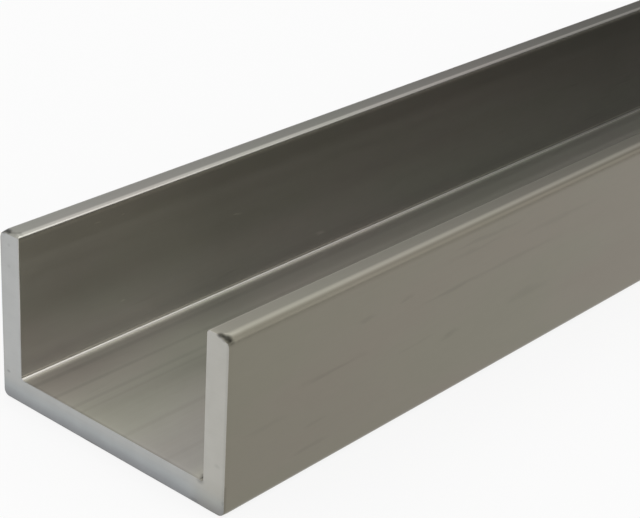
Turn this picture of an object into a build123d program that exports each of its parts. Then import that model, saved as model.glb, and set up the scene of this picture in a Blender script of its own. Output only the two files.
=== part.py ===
from build123d import *
import os

# One length of aluminium U channel, lying on the underside of its web.
# +X runs along the length, +Y across the web, +Z up.
# The origin is the middle of the underside of the web.

# Overall sizes
length = 1000.0
width = 50.0
height = 30.0

# Walls
web_wall = 4.5
leg_wall = 4.5

# Corner radii of the section
web_corner_radius = 1.2
inside_corner_radius = 0.5
tip_outer_radius = 1.7
tip_inner_radius = 0.6

# Sawn ends: the bevel that takes the burr off every edge
deburr = 0.15

# Sawn ends: the file cut across the outer top corner of each leg,
# measured along the length, across the leg and down the leg
file_cut_along = 3.2
file_cut_across = 2.3
file_cut_down = 1.0

outer_half = width / 2
inner_half = outer_half - leg_wall

# The section's outline: round the leg on the +Y side, then back round the other one
one_side = [
    (outer_half, 0),
    (outer_half, height),
    (inner_half, height),
    (inner_half, web_wall),
]
other_side = [(-y, z) for y, z in reversed(one_side)]
corner_radii = [
    web_corner_radius,
    tip_outer_radius,
    tip_inner_radius,
    inside_corner_radius,
]


with BuildPart() as channel:
    # The section at one sawn end
    with BuildSketch(Plane.YZ.offset(-length / 2)) as section:
        with BuildLine() as outline:
            FilletPolyline(
                *one_side,
                *other_side,
                radius=corner_radii + corner_radii[::-1],
                close=True,
            )
        make_face()
    extrude(amount=length)

    # The sawn ends, with the burr taken off all round
    sawn_ends = channel.faces().filter_by(Axis.X)
    chamfer(sawn_ends.edges(), length=deburr)

    # One flat file cut on the outer top corner of each leg, at both ends
    for end in (-1, 1):
        for side in (-1, 1):
            corner = Vector(end * length / 2, side * outer_half, height)
            cut_normal = Vector(
                end / file_cut_along, side / file_cut_across, 1 / file_cut_down
            )
            cut_face = Plane(
                origin=corner - Vector(end * file_cut_along, 0, 0), z_dir=cut_normal
            )
            split(bisect_by=cut_face, keep=Keep.BOTTOM)

channel.part.label = "channel"

os.makedirs("parts", exist_ok=True)
export_step(channel.part, "parts/channel.step")
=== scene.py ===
import math

import bmesh
import bpy
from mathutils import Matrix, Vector


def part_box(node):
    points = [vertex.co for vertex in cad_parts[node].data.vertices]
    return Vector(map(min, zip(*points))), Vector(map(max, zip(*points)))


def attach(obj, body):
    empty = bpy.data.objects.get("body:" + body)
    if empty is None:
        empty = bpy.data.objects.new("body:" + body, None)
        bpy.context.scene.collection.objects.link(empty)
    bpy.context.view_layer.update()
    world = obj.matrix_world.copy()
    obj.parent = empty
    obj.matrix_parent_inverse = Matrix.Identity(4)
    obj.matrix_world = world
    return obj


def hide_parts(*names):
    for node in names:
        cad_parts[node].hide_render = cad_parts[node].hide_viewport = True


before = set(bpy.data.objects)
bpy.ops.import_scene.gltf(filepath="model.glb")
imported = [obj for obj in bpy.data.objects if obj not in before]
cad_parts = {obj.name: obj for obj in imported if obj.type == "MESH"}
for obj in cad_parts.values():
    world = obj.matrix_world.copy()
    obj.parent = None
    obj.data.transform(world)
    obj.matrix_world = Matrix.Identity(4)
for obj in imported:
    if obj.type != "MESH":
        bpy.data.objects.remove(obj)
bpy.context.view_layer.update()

# One length of aluminium U channel lying on its web, seen over its near sawn end.
# As in the frame: +X along the length, +Y across the web to the far leg, +Z up.
# Metres, unless a note says millimetres.

mm = 0.001

stockLow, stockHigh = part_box("channel")
print("frame loaded: channel", [round(v, 4) for v in stockHigh - stockLow])


# Small helpers for working in edit mode

samePoint = 1e-6     # points closer together than this are one point
tiny = 1e-5          # slack when edges are looked for by their place
squareOn = 0.99      # a face looks along an axis when its normal has this much of it


def deselectAll():
    if bpy.context.object and bpy.context.object.mode != "OBJECT":
        bpy.ops.object.mode_set(mode="OBJECT")
    bpy.ops.object.select_all(action="DESELECT")


def takeUp(piece):
    deselectAll()
    bpy.context.view_layer.objects.active = piece
    piece.select_set(True)


def openForEditing(piece):
    takeUp(piece)
    bpy.ops.object.mode_set(mode="EDIT")
    bpy.ops.mesh.select_mode(type="FACE")


def pick(piece, kind, wanted):
    bpy.ops.mesh.select_mode(type=kind)
    bpy.ops.mesh.select_all(action="DESELECT")
    shape = bmesh.from_edit_mesh(piece.data)
    for part in shape.faces if kind == "FACE" else shape.edges:
        if wanted(part):
            part.select_set(True)
    bmesh.update_edit_mesh(piece.data)


def cutPicked(place, normal, **clear):
    bpy.ops.mesh.bisect(plane_co=place, plane_no=normal, threshold=samePoint, **clear)


def cutAcross(place, normal, **clear):
    bpy.ops.mesh.select_all(action="SELECT")
    cutPicked(place, normal, **clear)


def roundOff(width, segments):
    bpy.ops.mesh.bevel(offset=width, segments=segments, profile=0.5, affect="EDGES",
                       clamp_overlap=False)


# The channel

channelShape = {
    "webWall": 0.0045,
    "legWall": 0.0045,
    "webCornerRadius": 0.0012,
    "insideCornerRadius": 0.0005,
    "tipOuterRadius": 0.0017,
    "tipInnerRadius": 0.0006,
    "roundSegments": 8,                  # in each long rounding
    "gridStep": 0.002,                   # between the cuts that let the sawn edges wander
    "ringCuts": (0.0012, 0.004, 0.02),   # distances from each end
    "deburr": 0.00015,                   # arris taken off all round the sawn ends
    "deburrSegments": 2,
    "arrisWander": 0.00012,              # how far the hand filing strays into the metal
    "arrisWanderSize": 0.006,
    "fileAlong": 0.0032,                 # the file cut on each outer top corner
    "fileAcross": 0.0023,
    "fileDown": 0.001,
    "tipFiling": 0.0005,                 # bevel filed on the far leg's tip, near end only
    "flatBelow": 1,                      # degrees: faces this much in line become one
    "smoothBelow": 40,                   # degrees: sharper edges stay sharp
}

outerHalf = stockHigh.y
innerHalf = outerHalf - channelShape["legWall"]
ends = ((stockLow.x, 1), (stockHigh.x, -1))     # where each end is, and which way is inward


# how far a place along the stock is from the nearer end
def depthAt(x):
    return min(x - stockLow.x, stockHigh.x - x)


def makeSection(shape):
    webWall = shape["webWall"]

    # the web, as a bar
    deselectAll()
    bpy.ops.mesh.primitive_cube_add(
        size=1,
        location=((stockLow.x + stockHigh.x) / 2, 0, webWall / 2),
        scale=(stockHigh.x - stockLow.x, stockHigh.y - stockLow.y, webWall),
    )
    channel = bpy.context.object
    channel.name = "extruded_channel"
    bpy.ops.object.transform_apply(location=True, rotation=True, scale=True)

    # the legs, pulled up from two strips along the web's sides
    def isLegStrip(face):
        return face.normal.z > squareOn and abs(face.calc_center_median().y) > innerHalf

    openForEditing(channel)
    for side in (-1, 1):
        cutAcross((0, side * innerHalf, 0), (0, 1, 0))
    pick(channel, "FACE", isLegStrip)
    bpy.ops.mesh.extrude_region_move(
        TRANSFORM_OT_translate={"value": (0, 0, stockHigh.z - webWall)})
    bpy.ops.mesh.select_all(action="SELECT")
    bpy.ops.mesh.dissolve_limited(angle_limit=math.radians(shape["flatBelow"]))

    # the four roundings of the section, each on the edges that run the whole length
    def runsAlong(edge, y, z):
        one, other = (v.co for v in edge.verts)
        onLine = all(abs(abs(co.y) - y) < tiny and abs(co.z - z) < tiny for co in (one, other))
        return onLine and abs(one.x - other.x) > tiny

    roundings = [
        (outerHalf, stockLow.z, shape["webCornerRadius"]),
        (outerHalf, stockHigh.z, shape["tipOuterRadius"]),
        (innerHalf, stockHigh.z, shape["tipInnerRadius"]),
        (innerHalf, webWall, shape["insideCornerRadius"]),
    ]
    for y, z, radius in roundings:
        pick(channel, "EDGE", lambda edge: runsAlong(edge, y, z))
        roundOff(radius, shape["roundSegments"])
    return channel


# the sawn ends, with the arris taken off by a hand that strays a little
def sawEnds(channel, shape):
    # long cuts every couple of millimetres give the sawn edges points to move
    step = shape["gridStep"]
    for k in range(int(-outerHalf / step), int(outerHalf / step) + 1):
        cutAcross((0, k * step, 0), (0, 1, 0))
    for k in range(1, int(stockHigh.z / step)):
        cutAcross((0, 0, k * step), (0, 0, 1))

    def isEndRim(edge):
        if len(edge.link_faces) != 2:
            return False
        one, other = (abs(face.normal.x) > squareOn for face in edge.link_faces)
        return one != other

    pick(channel, "EDGE", isEndRim)
    roundOff(shape["deburr"], shape["deburrSegments"])
    for end, inward in ends:
        for distance in shape["ringCuts"]:
            cutAcross((end + inward * distance, 0, 0), (1, 0, 0))
    takeUp(channel)

    # a displacement into the metal, in full just behind the sawn face and gone at the first ring
    arris = channel.vertex_groups.new(name="arris")
    for vertex in channel.data.vertices:
        depth = depthAt(vertex.co.x)
        if depth < shape["ringCuts"][0] - tiny:
            arris.add([vertex.index], 1.0 if depth > tiny else 0.0, "REPLACE")
    cloud = bpy.data.textures.new("filing", "CLOUDS")
    cloud.noise_scale = shape["arrisWanderSize"]
    cloud.noise_depth = 1
    wander = channel.modifiers.new("wander", "DISPLACE")
    wander.texture = cloud
    wander.texture_coords = "LOCAL"
    wander.vertex_group = "arris"
    wander.mid_level = 1.0
    wander.strength = shape["arrisWander"]
    bpy.ops.object.modifier_apply(modifier="wander")
    channel.vertex_groups.clear()


def fileCorners(channel, shape):
    along, across, down = shape["fileAlong"], shape["fileAcross"], shape["fileDown"]
    openForEditing(channel)

    # one flat file cut across the outer top corner of each leg, at both ends
    for end, inward in ends:
        for side in (-1, 1):
            place = Vector((end + inward * along, side * outerHalf, stockHigh.z))
            normal = Vector((-inward / along, side / across, 1 / down)).normalized()
            cutAcross(place, normal, use_fill=True, clear_outer=True)

    # the far leg's tip, filed straight across
    pick(channel, "FACE", lambda face: face.calc_center_median().y > 0)
    cutPicked((stockLow.x + shape["tipFiling"], 0, stockHigh.z), (-1, 0, 1),
              use_fill=True, clear_outer=True)

    bpy.ops.mesh.select_all(action="SELECT")
    bpy.ops.mesh.remove_doubles(threshold=samePoint)
    bpy.ops.mesh.normals_make_consistent(inside=False)


def shadeSmooth(channel, shape):
    takeUp(channel)
    bpy.ops.object.shade_smooth_by_angle(angle=math.radians(shape["smoothBelow"]))
    weighted = channel.modifiers.new("weighted", "WEIGHTED_NORMAL")
    weighted.keep_sharp = True
    weighted.weight = 100
    bpy.ops.object.modifier_apply(modifier="weighted")


channel = makeSection(channelShape)
sawEnds(channel, channelShape)
fileCorners(channel, channelShape)
shadeSmooth(channel, channelShape)
print("channel made:", len(channel.data.polygons), "faces")


# Small helpers for finishes

# a new node: inputs by name or number, each given a value or joined to another node
def newNode(tree, kind, inputs, **settings):
    node = tree.nodes.new("ShaderNode" + kind)
    for name, value in settings.items():
        setattr(node, name, value)
    for name, value in inputs.items():
        if isinstance(value, bpy.types.NodeSocket):
            tree.links.new(value, node.inputs[name])
        else:
            node.inputs[name].default_value = value
    return node


def newFinish(name):
    finish = bpy.data.materials.new(name)
    finish.use_nodes = True
    tree = finish.node_tree
    tree.nodes.clear()
    shader = newNode(tree, "BsdfPrincipled", {})
    newNode(tree, "OutputMaterial", {"Surface": shader.outputs["BSDF"]})
    return finish, tree, shader


def calculated(tree, operation, *values):
    return newNode(tree, "Math", dict(enumerate(values)), operation=operation).outputs["Value"]


def product(tree, first, *others):
    for other in others:
        first = calculated(tree, "MULTIPLY", first, other)
    return first


def added(tree, tone, source, amount):
    return calculated(tree, "MULTIPLY_ADD", source, amount, tone)


def mapped(tree, source, fromLow, fromHigh, toLow=0.0, toHigh=1.0, smooth=True):
    inputs = {"Value": source, "From Min": fromLow, "From Max": fromHigh,
              "To Min": toLow, "To Max": toHigh}
    kind = "SMOOTHSTEP" if smooth else "LINEAR"
    return newNode(tree, "MapRange", inputs, interpolation_type=kind).outputs["Result"]


def rampOf(tree, source, stops):
    ramp = newNode(tree, "ValToRGB", {"Fac": source})
    points = ramp.color_ramp.elements
    while len(points) < len(stops):
        points.new(0.5)
    for point, (position, colour) in zip(points, stops):
        point.position = position
        point.color = (*colour, 1)
    return ramp.outputs["Color"]


def placeOf(tree):
    return newNode(tree, "TexCoord", {}).outputs["Object"]


# the same for both ends and for both legs
def foldedOf(tree, place):
    return newNode(tree, "VectorMath", {0: place}, operation="ABSOLUTE").outputs["Vector"]


def axesOf(tree, place):
    split = newNode(tree, "SeparateXYZ", {"Vector": place})
    return split.outputs["X"], split.outputs["Y"], split.outputs["Z"]


def noiseAt(tree, place, scale, detail, roughness):
    stretch = newNode(tree, "Mapping", {"Vector": place, "Scale": scale})
    inputs = {"Vector": stretch.outputs["Vector"], "Scale": 1.0, "Detail": detail,
              "Roughness": roughness}
    return newNode(tree, "TexNoise", inputs)


def grainOf(tree, scale, detail=2.0, roughness=0.5):
    return noiseAt(tree, placeOf(tree), scale, detail, roughness).outputs["Fac"]


# grains add as much tone as they take away, each about its own middle
def grained(tree, kinds):
    tone = 1.0 - sum(strength for *_, strength in kinds.values()) / 2
    grains = {}
    for name, (scale, detail, roughness, strength) in kinds.items():
        grains[name] = grainOf(tree, scale, detail, roughness)
        tone = added(tree, tone, grains[name], strength)
    return tone, grains


# the same place, pushed about by grain, so that a mark drawn on it has ragged edges
def strayed(tree, place, scale, amount):
    noise = noiseAt(tree, place, scale, detail=3.0, roughness=0.5)
    centred = newNode(tree, "VectorMath", {0: noise.outputs["Color"], 1: (0.5, 0.5, 0.5)},
                      operation="SUBTRACT")
    pushed = newNode(tree, "VectorMath", {0: centred.outputs["Vector"], 1: amount, 2: place},
                     operation="MULTIPLY_ADD")
    return pushed.outputs["Vector"]


# an egg-shaped spot, 1 in its middle fifth and 0 outside; centre and reach in millimetres
def spotAt(tree, place, centre, reach):
    away = newNode(tree, "VectorMath", {0: place, 1: [v * mm for v in centre]},
                   operation="SUBTRACT")
    shrunk = newNode(tree, "VectorMath", {0: away.outputs["Vector"], 1: [v * mm for v in reach]},
                     operation="DIVIDE")
    length = newNode(tree, "VectorMath", {0: shrunk.outputs["Vector"]}, operation="LENGTH")
    return mapped(tree, length.outputs["Value"], 1.0, 0.2)


# dark spots, or light ones where the strength is below 0
def marked(tree, tone, place, marks):
    for centre, reach, strength in marks:
        tone = added(tree, tone, spotAt(tree, place, centre, reach), -strength)
    return tone


def tinted(tree, colour, tint):
    mix = newNode(tree, "Mix", {"Factor": 1.0, "A": colour, "B": tint},
                  data_type="RGBA", blend_type="MULTIPLY")
    return mix.outputs["Result"]


warmAcross = (-0.016, -0.022)       # where the near leg's warmth begins, and is full


# the near leg is a little warmer: less green and less blue towards its outer side
def warmed(tree, colour, place, less):
    leg = mapped(tree, axesOf(tree, place)[1], *warmAcross)
    cast = rampOf(tree, leg, [(0.0, (1.0, 1.0, 1.0)), (1.0, (1.0, 1.0 - less[0], 1.0 - less[1]))])
    return tinted(tree, colour, cast)


grainSpread = (0.3, 0.7)            # noise hardly ever leaves this


# bare metal: a colour times a tone, duller and shinier with one grain, ridged with another
def asMetal(tree, shader, colour, tone, dullGrain, roughness, ridgeGrain, depth):
    paint = newNode(tree, "VectorMath", {0: colour, "Scale": tone}, operation="SCALE")
    dullness = mapped(tree, dullGrain, *grainSpread, *roughness)
    bump = newNode(tree, "Bump", {"Height": ridgeGrain, "Distance": depth})
    shader.inputs["Metallic"].default_value = 1.0
    tree.links.new(paint.outputs["Vector"], shader.inputs["Base Color"])
    tree.links.new(dullness, shader.inputs["Roughness"])
    tree.links.new(bump.outputs["Normal"], shader.inputs["Normal"])


# Finishes

# dark spots on the file cuts at the outer top corners of both ends, millimetres: centre, reach,
# strength
cornerMarks = [
    ((499.75, 23.1, 29.9), (0.8, 0.9, 0.6), 0.75),
    ((499.4, 24.0, 29.6), (1.0, 1.0, 0.7), 0.95),
    ((499.3, 24.75, 29.2), (0.9, 0.7, 0.7), 0.35),
]

endless = 5000       # millimetres: the reach that draws a spot out into a line along the stock

# Where the parts of the section are, in millimetres: none of it at the first figure and all
# of it at the second. Along, across and up are the same for both ends and both legs; toFarLeg
# is across too, from the middle, below 0 on the near half.
webLimits = [("across", 20.2, 20.1), ("up", 3.5, 4.0), ("up", 4.7, 4.6)]
innerSkin = [("across", 20.3, 20.5), ("across", 20.7, 20.6)]
innerSideLimits = innerSkin + [("up", 4.9, 5.2), ("up", 29.4, 29.0)]

extrudedSkin = {
    "colour": (0.407, 0.395, 0.361),            # inside and on top of the legs
    "shadedSideColour": (0.214, 0.202, 0.176),        # the outer sides: painted shade, darker than the inside
    "sideAcross": (0.0238, 0.0245),             # where that begins on the legs
    "sideBelow": (0.003, 0.0015),               # and under the web
    "roughness": (0.29, 0.33),
    "lineDepth": 4e-7,
    "warmth": (0.02, 0.09),                     # how much less green and blue on the near leg

    # scale along, across and up; detail, roughness of the noise, tone
    "grains": {
        "bands": ((2, 420, 420), 3.0, 0.5, 0.03),       # drawn by the die
        "lines": ((12, 2600, 2600), 3.0, 0.5, 0.035),
        "mottle": ((260, 700, 700), 4.0, 0.6, 0.05),
        "blotches": ((30, 90, 90), 3.0, 0.5, 0.04),
    },
    "bandsOnWeb": 0.11,                         # how much more the bands show there
    "streaks": ((60, 800, 800), 0.05),          # short dark rubs along the stock
    "streakGrain": (0.66, 0.8),                 # only where the noise is as high as this
    "besideLegs": 0.13,                         # lighter strips of the web along both legs
    "besideLegsAcross": (0.0165, 0.0205),

    # faint greenish and warm patches
    "patches": (25, 70, 70),
    "patchTints": [(0.35, (0.98, 1.0, 0.98)), (0.5, (1.0, 1.0, 1.0)), (0.65, (1.0, 0.975, 0.985))],

    "parts": {
        "web": webLimits,
        "farWeb": webLimits + [("toFarLeg", 5, 15)],
        "farWebEdge": webLimits + [("toFarLeg", -10, 10)],
        "farCorner": [("across", 19.9, 20.1), ("across", 20.7, 20.6), ("up", 5.1, 4.9),
                      ("toFarLeg", -10, 10)],
        "innerSides": innerSideLimits,
        "nearInnerSide": innerSideLimits + [("toFarLeg", 10, -10)],
        "underTips": innerSkin + [("up", 28.5, 29.4), ("up", 29.5, 29.4)],
        "innerTips": [("across", 20.4, 20.5), ("across", 21.3, 21.1), ("up", 29.2, 29.4)],
        "tipTops": [("up", 29.8, 29.9)],
        "outerTips": [("up", 29.0, 29.2)],
        "webArris": [("up", 5.6, 5.2)],
    },
    "lowOuterTips": ((0, 24.72, 29.22), (endless, 0.45, 0.6)),      # centre, reach

    # painted light and shade, as tone added to a part: what is measured, from where to where, the
    # tone at either figure
    "paintedLightAndShade": [
        ("web", "along", (350, 470), (0.36, -0.14)),
        ("web", "along", (450, 475), (0.36, 0.0)),           # all but its last centimetres
        ("web", "toFarLeg", (-10, -18), (0.0, 0.08)),        # the strip beside the near leg
        ("farWeb", "along", (455, 470), (0.32, 0.62)),       # the strip beside the far leg
        ("farWeb", "along", (474, 490), (0.0, -0.25)),
        ("farWebEdge", "across", (19, 20), (0.0, 0.38)),     # its last millimetre, a painted highlight
        ("farCorner", "along", (330, 500), (-0.52, 0.68)),   # the rounding up to the leg: painted highlight towards the end, painted shade further in
        ("nearInnerSide", "along", (450, 495), (0.0, -0.2)),
        # a painted glint just under the tips' inner rounding
        ("underTips", "up", (28.3, 29.4), (0.0, 1.1)),
        ("innerTips", "along", (370, 440), (-0.06, 0.19)),   # the tips' inner rounding, a painted highlight
        ("tipTops", "along", (380, 470), (0.14, 0.0)),
        ("outerTips", "across", (23.1, 23.6), (0.0, 0.15)),  # the tips' outer rounding, a painted highlight
        ("lowOuterTips", "along", (400, 495), (0.55, -0.34)),
        # painted shade over the web's sawn arris
        ("webArris", "along", (499.4, 499.8), (0.0, -0.18)),
    ],
    # painted light and shade on the legs' inner sides: tones along the stock, and one up the leg
    # that multiplies them
    "innerShadingAlong": [((330, 455), (-0.5, -0.07)), ((455, 500), (0.0, 0.7))],
    "innerShadingUp": ((6, 26), (-0.55, 0.28)),

    # lines that the die drew on the web, and at 15.2 a wide band of painted shade; millimetres:
    # across, half width, strength
    "dieLinesAndShade": [
        (17.5, 0.8, 0.14),
        (15.2, 4.5, 0.09),
        (12.6, 0.6, 0.12),
        (8.4, 0.7, 0.1),
        (6.4, 0.5, 0.06),
        (-3.4, 0.8, 0.05),
        (-12.6, 0.7, 0.04),
    ],

    # marks, millimetres: centre, reach, strength, and how they stray to have ragged edges
    "ragged": ((120, 400, 700), (0.008, 0, 0.0016)),
    "rubs": [                                   # on the near leg's outer side
        ((-477, -25, 16.3), (10, 1, 0.6), 0.1),
        ((-448, -25, 20), (9, 1, 0.6), 0.11),
        ((-432, -25, 20), (18, 1, 0.6), 0.07),
        ((-439, -25, 26.7), (13, 1, 0.5), 0.09),
        ((-442, -25, 25.4), (10, 1, 0.5), 0.07),
        ((-418, -25, 23.6), (14, 1, 0.8), 0.07),
        ((-459.5, -25, 22.3), (2.5, 1, 0.5), 0.09),
        ((-469, -25, 22.1), (3, 1, 0.6), 0.09),
        ((-447, -25, 11.5), (3.5, 1, 0.7), 0.1),
        ((-426, -25, 11.9), (8, 1, 1.2), 0.06),
        ((-482, -25, 4.6), (5, 1, 0.7), 0.08),
        ((-480.5, -25, 8.5), (3, 1, 0.7), 0.06),
        ((-492, -25, 12.3), (7, 1, 0.6), 0.05),
    ],
    "scratches": [                              # light ones on the far leg's inner side
        ((-483.4, 20.5, 27.3), (0.9, 1, 0.2), -0.35),
        ((-479, 20.5, 27.0), (0.7, 1, 0.2), -0.3),
        ((-450.6, 20.5, 18.7), (1.0, 1, 0.3), -0.4),
        ((-476.9, 20.5, 11.2), (0.8, 1, 0.2), -0.2),
        ((-429, 20.5, 7.9), (1.6, 1, 0.5), -0.12),
    ],
    "dirtAndShade": [
        ((-499.3, -20.0, 4.8), (1.4, 1.2, 1.0), 1.0),       # painted shadow in the near inside corner
        ((-499.8, 21.6, 29.8), (0.6, 2.6, 0.6), 0.3),       # along the far tip's filed edge
    ],
}


def makeExtrudedSkin(values):
    finish, tree, shader = newFinish("extrudedSkin")
    place = placeOf(tree)
    folded = foldedOf(tree, place)
    along, across, up = axesOf(tree, folded)
    measures = {"along": along, "across": across, "up": up, "toFarLeg": axesOf(tree, place)[1]}

    def change(measure, where, amounts=(0.0, 1.0)):
        start, stop = (v * mm for v in where)
        return mapped(tree, measures[measure], start, stop, *amounts, smooth=False)

    parts = {"lowOuterTips": spotAt(tree, folded, *values["lowOuterTips"])}
    for name, limits in values["parts"].items():
        parts[name] = product(tree, *(change(measure, where) for measure, *where in limits))

    # grain
    tone, grains = grained(tree, values["grains"])
    swing = calculated(tree, "SUBTRACT", grains["bands"], 0.5)
    tone = added(tree, tone, product(tree, swing, parts["web"]), values["bandsOnWeb"])
    beside = mapped(tree, across, *values["besideLegsAcross"])
    tone = added(tree, tone, product(tree, beside, parts["web"]), values["besideLegs"])
    scale, strength = values["streaks"]
    streaks = mapped(tree, grainOf(tree, scale), *values["streakGrain"])
    tone = added(tree, tone, streaks, -strength)

    # lines and marks
    webTop = channelShape["webWall"] / mm
    dieLinesAndShade = [((0, y, webTop), (endless, width, 1), strength)
                for y, width, strength in values["dieLinesAndShade"]]
    tone = marked(tree, tone, place, dieLinesAndShade)
    marks = values["rubs"] + values["scratches"] + values["dirtAndShade"]
    tone = marked(tree, tone, strayed(tree, place, *values["ragged"]), marks)
    tone = marked(tree, tone, folded, cornerMarks)

    # painted light and shade: each part of the section has its own tone, and most change towards
    # the sawn ends
    for part, measure, where, amounts in values["paintedLightAndShade"]:
        tone = added(tree, tone, parts[part], change(measure, where, amounts))
    innerShadingAlong = calculated(tree, "ADD", *(change("along", *step) for step in values["innerShadingAlong"]))
    innerShadingUp = change("up", *values["innerShadingUp"])
    both = calculated(tree, "ADD", innerShadingAlong, innerShadingUp)
    tone = added(tree, tone, parts["innerSides"], added(tree, both, innerShadingAlong, innerShadingUp))

    # painted shade: the outer sides are darker, and so is the underside up to the first millimetres
    onSide = mapped(tree, across, *values["sideAcross"])
    nearFloor = mapped(tree, up, *values["sideBelow"])
    paintedShadeMask = calculated(tree, "MAXIMUM", onSide, nearFloor)
    colour = rampOf(tree, paintedShadeMask, [(0.0, values["colour"]), (1.0, values["shadedSideColour"])])
    patches = rampOf(tree, grainOf(tree, values["patches"]), values["patchTints"])
    colour = warmed(tree, tinted(tree, colour, patches), place, values["warmth"])

    asMetal(tree, shader, colour, tone, grains["bands"], values["roughness"],
            grains["lines"], values["lineDepth"])
    return finish


sawnEnd = {
    # colour up the face, in millimetres from the underside, with painted shade that darkens it
    # towards the underside
    "coloursAndShade": [
        (0.1, (0.2, 0.2, 0.2)),
        (0.35, (0.285, 0.292, 0.3)),
        (1.0, (0.315, 0.325, 0.334)),
        (2.2, (0.4, 0.418, 0.422)),
        (3.8, (0.456, 0.462, 0.452)),
        (6.0, (0.488, 0.494, 0.486)),
        (29.6, (0.488, 0.494, 0.486)),
    ],
    "waver": ((100, 90, 90), 0.0012),           # how far those colours stray up and down
    "edgeShade": 0.14,                           # painted shade beside the outer arrises
    "edgeAcross": (0.0243, 0.025),
    "warmth": (0.03, 0.09),                     # how much less green and blue on the near leg
    "roughness": (0.43, 0.53),
    "lineDepth": 1.2e-6,
    # scale along, across and up; detail, roughness of the noise, tone
    "grains": {
        "sawLines": ((30, 45, 2400), 3.0, 0.5, 0.07),
        "mottle": ((300, 350, 350), 4.0, 0.6, 0.08),
    },
    # millimetres: centre, reach, strength
    "dirtAndShade": [
        ((-500, 23.7, 4.84), (1, 0.6, 0.35), 0.3),
        ((-500, 22.8, 27.7), (1, 0.5, 0.4), 0.12),
        ((-500, 22.9, 24), (1, 0.6, 0.4), 0.1),
        ((-500, -23.4, 8.4), (1, 0.8, 0.5), 0.1),
        ((-500, -24.7, 2.6), (1, 0.4, 0.5), 0.12),
        # painted shadow in the near inside corner
        ((-500, -20.0, 4.5), (1, 1.1, 0.9), 0.3),
        ((-500, -19, 0.4), (1, 1.6, 0.6), 0.2),
    ],
}


def makeSawnEnd(values):
    finish, tree, shader = newFinish("sawnEnd")
    place = placeOf(tree)
    folded = foldedOf(tree, place)
    across, up = axesOf(tree, folded)[1:]

    scale, amount = values["waver"]
    height = added(tree, up, grainOf(tree, scale), amount)
    height = calculated(tree, "SUBTRACT", height, amount / 2)
    height = mapped(tree, height, stockLow.z, stockHigh.z, smooth=False)
    tall = (stockHigh.z - stockLow.z) / mm
    colour = rampOf(tree, height, [(z / tall, shade) for z, shade in values["coloursAndShade"]])
    colour = warmed(tree, colour, place, values["warmth"])

    tone, grains = grained(tree, values["grains"])
    tone = marked(tree, tone, place, values["dirtAndShade"])
    tone = marked(tree, tone, folded, cornerMarks)
    tone = added(tree, tone, mapped(tree, across, *values["edgeAcross"]), -values["edgeShade"])

    asMetal(tree, shader, colour, tone, grains["mottle"], values["roughness"],
            grains["sawLines"], values["lineDepth"])
    return finish


channel.data.materials.clear()
channel.data.materials.append(makeExtrudedSkin(extrudedSkin))
channel.data.materials.append(makeSawnEnd(sawnEnd))
sawnDepth = channelShape["deburr"] * 0.6        # the sawn face and the outer part of its arris
for face in channel.data.polygons:
    face.material_index = 1 if depthAt(face.center.x) < sawnDepth else 0

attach(channel, "root")
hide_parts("channel")
print("finishes made")


# Studio

floorValues = {
    "size": 30.0,
    "drop": 0.0001,              # below the stock, so that the two faces don't fight
    "colour": (0.9, 0.9, 0.9, 1),
    "roughness": 0.9,
    "glow": 0.85,                # the share of plain white where the floor is seen or mirrored
}


def makeFloor(values):
    deselectAll()
    bpy.ops.mesh.primitive_plane_add(size=values["size"],
                                     location=(0, 0, stockLow.z - values["drop"]))
    floor = bpy.context.object
    floor.name = "studio_floor"
    paint, tree, shader = newFinish("floorPaint")
    shader.inputs["Base Color"].default_value = values["colour"]
    shader.inputs["Roughness"].default_value = values["roughness"]
    rays = newNode(tree, "LightPath", {}).outputs
    seen = calculated(tree, "MAXIMUM", rays["Is Camera Ray"], rays["Is Glossy Ray"])
    seen = calculated(tree, "MAXIMUM", seen, rays["Is Transmission Ray"])
    share = calculated(tree, "MULTIPLY", seen, values["glow"])
    glow = newNode(tree, "Emission", {})
    mix = newNode(tree, "MixShader", {"Fac": share, 1: shader.outputs["BSDF"],
                                      2: glow.outputs["Emission"]})
    tree.links.new(mix.outputs["Shader"], tree.nodes["Material Output"].inputs["Surface"])
    floor.data.materials.append(paint)


skyValues = {
    # brightness from level up to straight overhead
    "heights": [(0.0, 0.43), (0.2, 0.51), (0.35, 0.59), (0.5, 0.77), (0.7, 1.01), (0.88, 1.12),
                (1.0, 0.8)],
    "strength": 2.0,             # a ramp can't go over 1, so it holds the sky at half
    "darkToward": (9, -5),       # a dark flag beyond the far end: bearing and height, degrees
    "darkWithin": (22, 54),      # full inside the first angle, none outside the second
}


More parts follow.
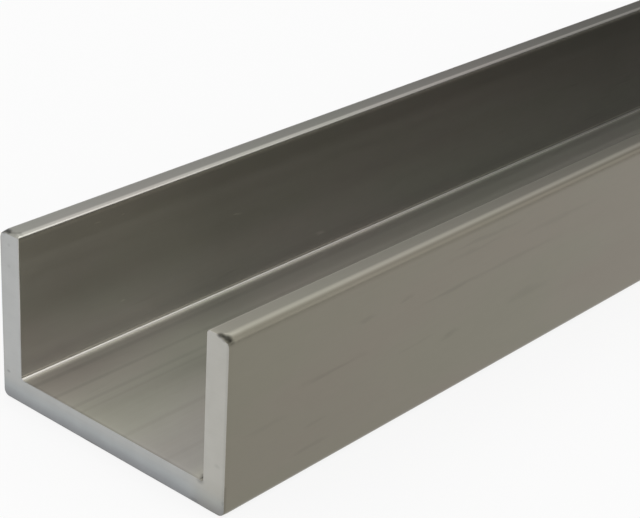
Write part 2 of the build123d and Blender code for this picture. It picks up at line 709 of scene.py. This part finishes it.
def makeSky(values):
    world = bpy.data.worlds.new("studio")
    world.use_nodes = True
    tree = world.node_tree
    toward = newNode(tree, "TexCoord", {}).outputs["Generated"]
    strength = values["strength"]
    greys = [(at, [v / strength] * 3) for at, v in values["heights"]]
    sky = rampOf(tree, axesOf(tree, toward)[2], greys)

    bearing, height = [math.radians(a) for a in values["darkToward"]]
    full, none = [math.cos(math.radians(a)) for a in values["darkWithin"]]
    flag = (math.cos(height) * math.cos(bearing), math.cos(height) * math.sin(bearing),
            math.sin(height))
    toFlag = newNode(tree, "VectorMath", {0: toward, 1: flag}, operation="DOT_PRODUCT")
    left = mapped(tree, toFlag.outputs["Value"], none, full, 1.0, 0.0)
    shaded = newNode(tree, "VectorMath", {0: sky, "Scale": left}, operation="SCALE")
    background = tree.nodes["Background"]
    tree.links.new(shaded.outputs["Vector"], background.inputs["Color"])
    background.inputs["Strength"].default_value = strength
    bpy.context.scene.world = world


softboxValues = {
    "at": (-0.35, 0, 0),         # what it is turned to
    "from": (0.354, -0.834, 0.423),
    "away": 1.6,
    "size": 1.03,
    "power": 4.8,
}


def makeSoftbox(values):
    direction = Vector(values["from"]).normalized()
    deselectAll()
    bpy.ops.object.light_add(type="AREA",
                             location=Vector(values["at"]) + direction * values["away"])
    lamp = bpy.context.object
    lamp.name = "key_softbox"
    lamp.rotation_euler = direction.to_track_quat("Z", "Y").to_euler()
    lamp.data.shape = "SQUARE"
    lamp.data.size = values["size"]
    lamp.data.energy = values["power"]
    lamp.visible_camera = False


makeFloor(floorValues)
makeSky(skyValues)
makeSoftbox(softboxValues)


# Camera

view = {
    "lens": 99.6,
    "sensor": 36,
    "place": (-0.6582, -0.1741, 0.1483),
    "turn": (64.147, -2.972, -48.410),   # degrees
    "sees": (0.01, 100),                 # nearest and farthest
}

deselectAll()
bpy.ops.object.camera_add(location=view["place"],
                          rotation=[math.radians(a) for a in view["turn"]])
camera = bpy.context.object
camera.name = "camera"
camera.data.lens = view["lens"]
camera.data.sensor_width = view["sensor"]
camera.data.clip_start, camera.data.clip_end = view["sees"]
bpy.context.scene.camera = camera
bpy.context.scene.view_settings.view_transform = "Standard"
print("studio and camera set")
